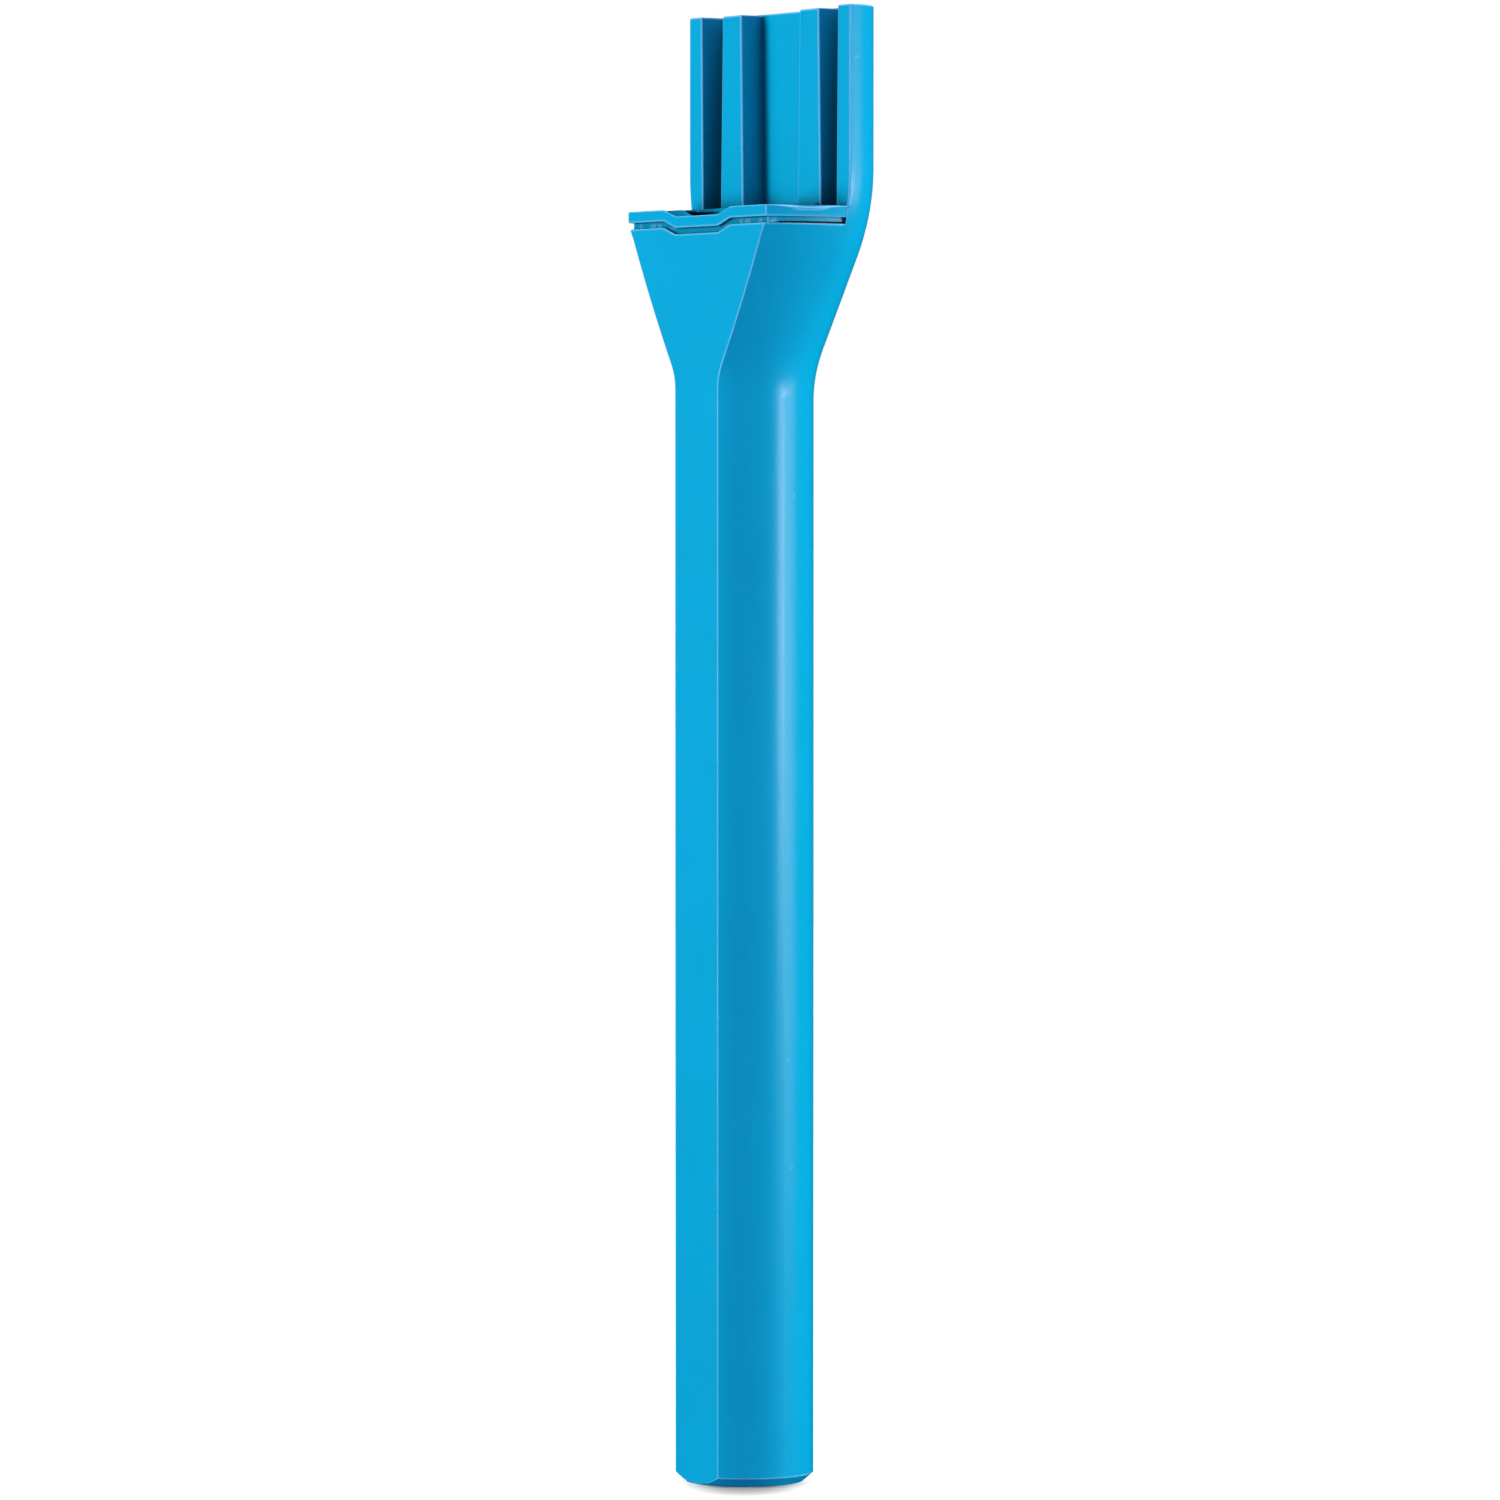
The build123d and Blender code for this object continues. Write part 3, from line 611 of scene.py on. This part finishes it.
# %% [markdown]
# ## The shell's outside
# Whole rings first, then the front and the rear part ways at the mouth. The rim of the mouth and the top
# of the plate get their roundings as extra rings, set in a little more each time.

# %% Build the outside
shell = bmesh.new()
rings = [add_ring(shell, whole(half_section(0.0, round_r=r)), z) for z, r in cone_rings]
rings += [add_ring(shell, whole(half_section(z)), z) for z in handle_heights + flare_heights]
for low, high in zip(rings, rings[1:]):
    join(shell, low, high)

count = len(rings[-1])
front_columns = list(range(count - SPLIT, count)) + list(range(SPLIT + 1))
rear_columns = list(range(SPLIT, count - SPLIT + 1))


def part_of(ring, columns):
    return [ring[k] for k in columns]


# front: up to the rim with a small rounding, in over the ledge, and up to the gasket's level
top_ring = whole(half_section(BODY_TOP_Z, split_y=FRONT_Y))
rim_round = 0.35
previous = part_of(rings[-1], front_columns)
for angle in (None, 0, 30, 60, 90):          # None is the ring that holds the flat below the rounding
    set_in = rim_round * (1 - math.cos(math.radians(angle or 0)))
    ring = whole(half_section(BODY_TOP_Z, inset=set_in, split_y=FRONT_Y))
    drop = rim_round * (1 - math.sin(math.radians(angle))) if angle is not None else rim_round + HOLD
    points = [ring[k] for k in front_columns]
    # the rounding runs out where the front meets the plate
    points[0], points[-1] = top_ring[count - SPLIT], top_ring[SPLIT]
    row = add_ring(shell, points, lambda x, y: BODY_TOP_Z - (dip(x) if y < MOUTH_DIP_Y else 0.0) - drop)
    row[0].co.z = row[-1].co.z = BODY_TOP_Z - (HOLD if angle is None else 0.0)
    join(shell, previous, row, closed=False)
    previous = row
inner_ring = whole(half_section(BODY_TOP_Z, inset=SLOT_DEPTH, split_y=FRONT_Y))
inner_points = [inner_ring[k] for k in front_columns]
ends = top_ring[SPLIT][0] - SLOT_DEPTH
inner_points[0], inner_points[-1] = (-ends, FRONT_Y), (ends, FRONT_Y)
for depth in (lambda x, y: BODY_TOP_Z - (dip(x) if y < MOUTH_DIP_Y else 0.0), BODY_TOP_Z):
    row = add_ring(shell, inner_points, depth)
    join(shell, previous, row, closed=False)
    previous = row

# rear: the plate
BESIDE_COLLAR = [401.0, 403.0, COLLAR_TOP_Z - 0.1]
plate_heights = [BODY_TOP_Z] + BESIDE_COLLAR + spread(COLLAR_TOP_Z + 0.3, FLARE_END_Z, 2.4)
plate_heights += spread(FLARE_END_Z, TOP_Z - ROUND - HOLD, 5)[1:] + [TOP_Z - ROUND]
plate_rows = [(z, 0.0) for z in plate_heights]
plate_rows += [(TOP_Z - ROUND + ROUND * math.sin(math.radians(a)), ROUND * (1 - math.cos(math.radians(a))))
               for a in (22, 45, 67, 90)]
previous_outer, previous_inner = part_of(rings[-1], rear_columns), None
for z, grow in plate_rows:
    corner_r = ROUND if z > COLLAR_TOP_Z else 0.0
    ring = whole(half_section(z, inset=grow, split_y=FRONT_Y + grow + max(corner_r - grow, 0.0)))
    outer = add_ring(shell, [ring[k] for k in rear_columns], z)
    join(shell, previous_outer, outer, closed=False)
    half = pocket_half(z, ring[SPLIT], grow, corner_r)
    # mirrored half first, so the line runs on from the left end of the outer row to its right end
    line = [(-x, y) for x, y in half] + list(reversed(half[:-1]))
    inner = add_ring(shell, line, z)
    if previous_inner:
        join(shell, previous_inner, inner, closed=False)
    previous_outer, previous_inner = outer, inner
print("plate rows:", len(plate_rows))


# %% [markdown]
# ## The shell's inside
# A moulding has a wall of even thickness, so the inside repeats the outside's sections, set in by the
# wall. At the top it ends in a ledge round the well that takes the strainer, and at the foot in an end
# wall with a hole for the hose. A solidify modifier would do for the tube, but not for the ledge.

# %% Build the inside
END_WALL, END_HOLE_R = 4.0, 17.0
LEDGE_Z = BODY_TOP_Z - 3.0
MOUTH_WELL = (34.5, 37.4, 12.9, 6.5, 4.5)   # half-width in front and behind, front, rear, corner radius


def circle_like(points, radius):
    """A circle whose points lie in the same directions as a ring's."""
    return [(radius * math.cos(math.atan2(y, x)), radius * math.sin(math.atan2(y, x))) for x, y in points]


def tray(front, rear, front_y, rear_y, r, total):
    """Half of a four-sided ring with rounded corners, resampled to `total` points."""
    lean = math.atan2(rear_y + front_y, rear - front)            # direction of the side, from front to rear
    turn_front, turn_rear = lean, math.pi - lean
    off_front, off_rear = r * math.tan(turn_front / 2), r * math.tan(turn_rear / 2)
    line = [(0.0, -front_y)]
    line += arc((front - off_front, -front_y + r), r, -math.pi / 2, -math.pi / 2 + turn_front, 8, first=0)
    line += arc((rear - off_rear, rear_y - r), r, lean - math.pi / 2, math.pi / 2, 8, first=0)
    line += [(0.0, rear_y)]
    steps = [math.dist(a, b) for a, b in zip(line, line[1:])]
    picked, length = [], sum(steps)
    for k in range(total):
        along = length * k / (total - 1)
        i = 0
        while i < len(steps) - 1 and along > steps[i]:
            along -= steps[i]
            i += 1
        f = min(1.0, along / steps[i]) if steps[i] else 0.0
        picked.append(tuple(a + (b - a) * f for a, b in zip(line[i], line[i + 1])))
    return picked


half_count = len(half_section(100.0))
bottom_points = whole(half_section(0.0))
hole_low = add_ring(shell, circle_like(bottom_points, END_HOLE_R), 0.0)
hole_high = add_ring(shell, circle_like(bottom_points, END_HOLE_R), END_WALL)
join(shell, hole_low, rings[0])
join(shell, hole_high, hole_low)
previous = hole_high
for z in [END_WALL] + spread(20, FLARE_Z, 40) + spread(FLARE_Z, LEDGE_Z, 6)[1:]:
    ring = add_ring(shell, whole(half_section(z, inset=WALL, facet_inset=FACET_WALL)), z)
    join(shell, ring, previous)
    previous = ring
mouth = whole(tray(*MOUTH_WELL, half_count))
for z in (LEDGE_Z, BODY_TOP_Z):
    ring = add_ring(shell, mouth, z)
    join(shell, ring, previous)
    previous = ring

weld(shell)
print("ledge filled with", fill_level(shell, BODY_TOP_Z), "faces, plate top with", fill_level(shell, TOP_Z))


# %% [markdown]
# ## Recesses for the screw heads
# Four screws hold the ribs through the plate, and two hold the hose socket. Their heads lie below the
# surface, in round recesses in the rear. A recess crosses the quads of the skin at any place, so here a
# boolean cut is the right tool. Each cutter is a short cylinder that lies along the depth.

# %% Cut the recesses
CUTTER_LONG, HEAD_H, SUNK_H = 8.0, 2.4, 0.9
RECESS_R, SUNK_R = 3.8, 3.5
RIB_SCREW_X, RIB_SCREW_Z = 21.3, (420.0, 452.0)
SOCKET_SCREW_Z = (26.0, 58.0)


def sink_round(mesh, spots, radius, floor_y):
    """Sinks round recesses into the rear of a skin, each down to the same depth."""
    bmesh.ops.recalc_face_normals(mesh, faces=mesh.faces)
    cutter = bmesh.new()
    for x, z in spots:
        place = Matrix.Translation((x, floor_y + CUTTER_LONG / 2, z)) @ Matrix.Rotation(math.pi / 2, 4, "X")
        bmesh.ops.create_cone(cutter, cap_ends=True, segments=48, radius1=radius, radius2=radius,
                              depth=CUTTER_LONG, matrix=place)
    made = []
    for name, source in (("sunk", mesh), ("cutter", cutter)):
        data = bpy.data.meshes.new(name)
        source.to_mesh(data)
        source.free()
        made.append(bpy.data.objects.new(name, data))
        bpy.context.scene.collection.objects.link(made[-1])
    cut = made[0].modifiers.new("recesses", "BOOLEAN")
    cut.object, cut.operation, cut.solver = made[1], "DIFFERENCE", "EXACT"
    result = bmesh.new()
    result.from_mesh(made[0].evaluated_get(bpy.context.evaluated_depsgraph_get()).to_mesh())
    for piece in made:
        data = piece.data
        bpy.data.objects.remove(piece)
        bpy.data.meshes.remove(data)
    return result


rib_spots = [(side * RIB_SCREW_X, z) for side in (-1, 1) for z in RIB_SCREW_Z]
socket_spots = [(0.0, z) for z in SOCKET_SCREW_Z]
before = len(shell.faces)
shell = sink_round(shell, rib_spots, RECESS_R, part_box("rib_screws")[1].y / MM - HEAD_H)
shell = sink_round(shell, socket_spots, SUNK_R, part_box("socket_screws")[1].y / MM - SUNK_H)
print("recesses cut:", len(shell.faces) - before, "more faces")
finish_mesh(shell, "handle_shell_skin", blue_abs, "wand", "handle_shell")

# %% [markdown]
# ## The collar
# The collar is the rim of the lift-out strainer. Its outside continues the flare above the slot, and a
# finger dip lets a thumb push it up. Rings would do for it too, but its upper edge is rounded more in
# the middle of each side, where fingers grip, so each ring is drawn between two insets, point by point.

# %% Rings of the collar
COLLAR_Z = COLLAR_TOP_Z - COLLAR_H
STEP_Z = seal_high.z
SEAM = 0.1                                  # parting line left against the plate
GRIP_ROUND, PLAIN_ROUND = 1.5, 0.3
REAR_POINTS = 8
SIDE_START = N_FRONT + N_EDGE


def collar_half(z, inset):
    """Half of the collar's outline: front, edge, side, then straight across in front of the plate."""
    end_y = FRONT_Y - SEAM
    half = half_section(z, inset=inset, front=COLLAR_HALF, end_y=end_y)
    last = half[-1][0]
    return half + [(last * (1 - k / REAR_POINTS), end_y) for k in range(1, REAR_POINTS + 1)]


def collar_ring(z, insets):
    """The whole outline, set in by its own amount at each point."""
    outer, inner = collar_half(z, 0.0), collar_half(z, 1.0)
    half = [tuple(a + (b - a) * inset for a, b in zip(p, q)) for p, q, inset in zip(outer, inner, insets)]
    return whole(half)


def dipped(z):
    """Height of a level with the finger dip in its front."""
    return lambda x, y: z - (dip(x) if y < COLLAR_DIP_Y else 0.0)


SQUEEZED = 0.12                             # height of the gasket in front, as a share of the whole
SQUEEZE_END, SQUEEZE_OVER = 2.5, 4.0        # behind the facet it starts to rise, over this much depth


def seal_top(x, y):
    """The gasket is squeezed thin in front and stands up to its full height along the sides."""
    share = min(1.0, max(0.0, (y + FACET_Y - SQUEEZE_END) / SQUEEZE_OVER))
    smooth = share * share * (3 - 2 * share)
    return BODY_TOP_Z + (STEP_Z - BODY_TOP_Z) * (SQUEEZED + (1 - SQUEEZED) * smooth)


collar_count = len(collar_half(COLLAR_Z, 0.0))
grip = [PLAIN_ROUND] * collar_count
for k in range(N_SIDE + 1):
    grip[SIDE_START + k] += (GRIP_ROUND - PLAIN_ROUND) * math.sin(math.pi * k / N_SIDE) ** 2
print("collar ring:", 2 * collar_count - 2, "points")


# %% [markdown]
# The rows run in a loop through the collar: up its outside, over the rounded edge, in over the top, down
# the well, out under the collar and up the inner wall of the slot, back to the first row.

# %% Build the collar
STEP_IN = 0.3                               # the slot's inner wall steps out by this below the collar
collar = bmesh.new()
rows = []


def collar_row(z, insets):
    rows.append(add_ring(collar, collar_ring(z, insets), dipped(z)))


for angle in (90, 60, 30, 0):
    set_in = PLAIN_ROUND * (1 - math.cos(math.radians(angle)))
    collar_row(COLLAR_Z + PLAIN_ROUND * (1 - math.sin(math.radians(angle))), [set_in] * collar_count)
collar_row(COLLAR_Z + PLAIN_ROUND + HOLD, [0.0] * collar_count)
collar_row(COLLAR_TOP_Z - GRIP_ROUND - HOLD, [0.0] * collar_count)
for angle in (0, 15, 30, 45, 60, 75, 90):
    points = collar_ring(COLLAR_TOP_Z, [r * (1 - math.cos(math.radians(angle))) for r in grip])
    drop = [r * (1 - math.sin(math.radians(angle))) for r in grip]
    drops = drop + list(reversed(drop[1:-1]))
    level = dipped(COLLAR_TOP_Z)
    rows.append([collar.verts.new((x, y, level(x, y) - d)) for (x, y), d in zip(points, drops)])
well = whole(tray(*CUP_TOP, collar_count))
rows.append(add_ring(collar, well, dipped(COLLAR_TOP_Z)))
rows.append(add_ring(collar, well, seal_top))
rows.append(add_ring(collar, collar_ring(COLLAR_Z, [SLOT_DEPTH] * collar_count), seal_top))
rows.append(add_ring(collar, collar_ring(COLLAR_Z, [SLOT_DEPTH] * collar_count), COLLAR_Z))
rows.append(add_ring(collar, collar_ring(COLLAR_Z, [SLOT_DEPTH - STEP_IN] * collar_count), COLLAR_Z))
rows.append(add_ring(collar, collar_ring(COLLAR_Z, [SLOT_DEPTH - STEP_IN] * collar_count), dipped(COLLAR_Z)))
for low, high in zip(rows, rows[1:] + rows[:1]):
    join(collar, low, high)
weld(collar)
finish_mesh(collar, "strainer_rim_skin", blue_abs, "strainer", "strainer_rim")

# %% [markdown]
# ## The gasket
# A flat ring of rubber seals the collar on the ledge. Only its edge shows, as a black line in the slot.
# It bulges a little where it is pressed, so its edge has three rows, and the middle one stands out.

# %% Gasket under the collar
SETBACK = SLOT_DEPTH + 0.1
FOOT_BACK, LIP_BACK = 0.15, 0.05            # how far the lower and upper row lie behind the bulge
BULGE_AT = 0.4                              # height of the bulge, as a share of the gasket's


def bulge(x, y):
    return BODY_TOP_Z + BULGE_AT * (seal_top(x, y) - BODY_TOP_Z)


gasket = bmesh.new()
gasket_rows = [add_ring(gasket, collar_ring(COLLAR_Z, [inset] * collar_count), level) for inset, level in
               ((SETBACK + FOOT_BACK, BODY_TOP_Z), (SETBACK, bulge), (SETBACK + LIP_BACK, seal_top))]
gasket_rows += [add_ring(gasket, well, seal_top), add_ring(gasket, well, BODY_TOP_Z)]
for low, high in zip(gasket_rows, gasket_rows[1:] + gasket_rows[:1]):
    join(gasket, low, high)
finish_mesh(gasket, "rim_seal_skin", black_rubber, "strainer", "rim_seal")

# %% [markdown]
# ## The guide ribs
# Two tapered ribs guide the tool on the dock. A bevel modifier would round them in one line, but rings
# drawn from the panel to the front keep every edge the same width and leave the front face flat.

# %% Guide ribs
RIB_ROUND, RIB_CORNER = 0.6, 0.4
RIB_TAPER_OUT, RIB_TAPER_IN = 1.2, 1.1      # how much narrower each side is at the top


def rib_ring(side, y, inset):
    """The rib's outline in front view, at a depth, with small rounded corners."""
    low_in, low_out = rib_low.x + inset, rib_high.x - inset
    top_in, top_out = rib_low.x + RIB_TAPER_IN + inset, rib_high.x - RIB_TAPER_OUT - inset
    low, top, r = rib_low.z + inset, rib_high.z - inset, RIB_CORNER
    points = arc((low_out - r, low + r), r, -math.pi / 2, 0.0, 4, first=0)
    points += arc((top_out - r, top - r), r, 0.0, math.pi / 2, 4, first=0)
    points += arc((top_in + r, top - r), r, math.pi / 2, math.pi, 4, first=0)
    points += arc((low_in + r, low + r), r, math.pi, 1.5 * math.pi, 4, first=0)
    return [(side * x, y, z) for x, z in points]


for side, name in ((-1, "guide_rib_left"), (1, "guide_rib_right")):
    rib = bmesh.new()
    outlines = [rib_ring(side, rib_high.y, 0.0)]
    outlines += [rib_ring(side, rib_low.y + RIB_ROUND * (1 - math.sin(math.radians(a))),
                          RIB_ROUND * (1 - math.cos(math.radians(a)))) for a in (0, 18, 36, 54, 72, 90)]
    outlines.append(rib_ring(side, rib_low.y, RIB_ROUND + HOLD))
    outlines = [[rib.verts.new(point) for point in outline] for outline in outlines]
    for low, high in zip(outlines, outlines[1:]):
        join(rib, low, high)
    rib.faces.new(outlines[0])
    rib.faces.new(outlines[-1])
    finish_mesh(rib, name + "_skin", blue_abs, "wand", name)

# %% [markdown]
# ## The woven strainer cloth
# Inside the cup hangs a sleeve of woven nylon. A flat sheet with a pattern painted on would look solid
# from close by, so every thread is a real tube: rings and uprights pass over and under each other.

# %% Woven sleeve
CUP_LOW = (13.0, 15.6, 12.4, 6.0, 5.0)      # plan of the cup at its floor, as CUP_TOP
SLEEVE_INSET = 1.9                          # middle of the cloth, from the cup's outside
TAPER_TOP_Z = seal_low.z + 0.2
ROW_PITCH, UPRIGHTS = 1.5, 96
THREAD_R, WAVE, THREAD_SIDES = 0.13, 0.12, 5


def sleeve_ring(z):
    """Places on the sleeve at one height, each with the direction out of it."""
    t = (z - cup_low.z) / (TAPER_TOP_Z - cup_low.z)
    front, rear, front_y, rear_y, r = (low + (top - low) * t for low, top in zip(CUP_LOW, CUP_TOP))
    half = tray(front - SLEEVE_INSET, rear - SLEEVE_INSET, front_y - SLEEVE_INSET, rear_y - SLEEVE_INSET,
                r - SLEEVE_INSET, UPRIGHTS // 2 + 1)
    ring = [Vector((x, y, z)) for x, y in whole(half)]
    along = [(ring[(k + 1) % UPRIGHTS] - ring[k - 1]).normalized() for k in range(UPRIGHTS)]
    return ring, [Vector((way.y, -way.x, 0)) for way in along], along


def thread(mesh, places, outs, sides, closed):
    """A five-sided tube along some places; outs and sides are the two directions across it."""
    turn = [2 * math.pi * k / THREAD_SIDES for k in range(THREAD_SIDES)]
    rings = []
    for place, out, side in zip(places, outs, sides):
        across = [out * math.cos(a) + side * math.sin(a) for a in turn]
        rings.append([mesh.verts.new(place + THREAD_R * way) for way in across])
    for low, high in zip(rings, rings[1:] + (rings[:1] if closed else [])):
        join(mesh, low, high)
    if not closed:
        mesh.faces.new(rings[0])
        mesh.faces.new(rings[-1])


sleeve = bmesh.new()
levels = spread(mesh_low.z + THREAD_R, mesh_high.z - THREAD_R, ROW_PITCH)
grid = [sleeve_ring(z) for z in levels]
for row, (ring, outs, along) in enumerate(grid):
    waved = [p + out * WAVE * (1 if (row + k) % 2 else -1) for k, (p, out) in enumerate(zip(ring, outs))]
    thread(sleeve, waved, outs, [Vector((0, 0, 1))] * UPRIGHTS, closed=True)
for k in range(UPRIGHTS):
    points, outs, along = ([part[k] for part in parts] for parts in zip(*grid))
    places = [p - out * WAVE * (1 if (row + k) % 2 else -1) for row, (p, out) in enumerate(zip(points, outs))]
    thread(sleeve, places, outs, along, closed=False)
finish_mesh(sleeve, "strainer_mesh_woven", nylon, "strainer", "strainer_mesh", 80)

# %% [markdown]
# ## Pieces that keep their frame shape
# The basket, the hose socket, its washer and the screws are shown as they were engineered. A skin of
# their own would add nothing, since little of them is seen, so they only get their real materials.

# %% Put the finishes on them
for name, material in (("strainer_cup", blue_abs), ("hose_socket", grey_abs), ("hose_stop", black_rubber),
                       ("rib_screws", stainless), ("socket_screws", stainless)):
    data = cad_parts[name].data
    data.materials.clear()
    data.materials.append(material)
    print(name, "is now", material.name)

# %% [markdown]
# ## The floor
# The wand stands on a table of opal acrylic that glows white all round, as in a product studio. The
# soft contact shadow under and just in front of the foot is partly cast by the lamps and partly painted:
# the glow is turned down there in an oval. Lamps alone would leave the table grey at its edges, and a
# plain white sheet would show no shadow.

# %% Floor
# painted contact shadow: these place and size the oval where the floor's glow is turned down
SHADOW_FORWARD, SHADOW_NARROW = 0.014, 0.6   # the shadow's middle, and its width as a share of its length
SHADOW_CORE, SHADOW_END = 0.010, 0.046       # the glow starts and is full at these distances
GLOW = 0.95
floor_mesh = bmesh.new()
bmesh.ops.create_grid(floor_mesh, x_segments=8, y_segments=8, size=3.0)
floor_data = bpy.data.meshes.new("floor")
floor_mesh.to_mesh(floor_data)
floor = bpy.data.objects.new("floor", floor_data)
bpy.context.scene.collection.objects.link(floor)
acrylic, acrylic_tree, acrylic_shader = new_material("opal_acrylic_glow_and_painted_shadow")
set_values(acrylic_shader, {"Base Color": linear("#C8BAA6"), "Roughness": 0.9,
                            "Specular IOR Level": 0.1, "Emission Color": (1, 1, 1, 1)})
# the contact shadow is partly painted: the glow is turned down in a long oval that reaches forwards
spot = node(acrylic_tree, "ShaderNodeTexCoord")
oval = node(acrylic_tree, "ShaderNodeMapping",
            {"vector_type": "TEXTURE", "Location": toward_eye * SHADOW_FORWARD,
             "Rotation": (0, 0, VIEW_AZIMUTH - math.pi / 2), "Scale": (1.0, SHADOW_NARROW, 1.0)},
            Vector=(spot, "Object"))
away = node(acrylic_tree, "ShaderNodeVectorMath", {"operation": "LENGTH"}, _0=(oval, "Vector"))
glow = node(acrylic_tree, "ShaderNodeMapRange",
            {"interpolation_type": "SMOOTHSTEP", "From Min": SHADOW_CORE, "From Max": SHADOW_END,
             "To Min": 0.0, "To Max": GLOW}, Value=(away, "Value"))
acrylic_tree.links.new(glow.outputs["Result"], acrylic_shader.inputs["Emission Strength"])
floor_data.materials.append(acrylic)
floor.visible_glossy = floor.visible_diffuse = False
print("floor of", acrylic.name)
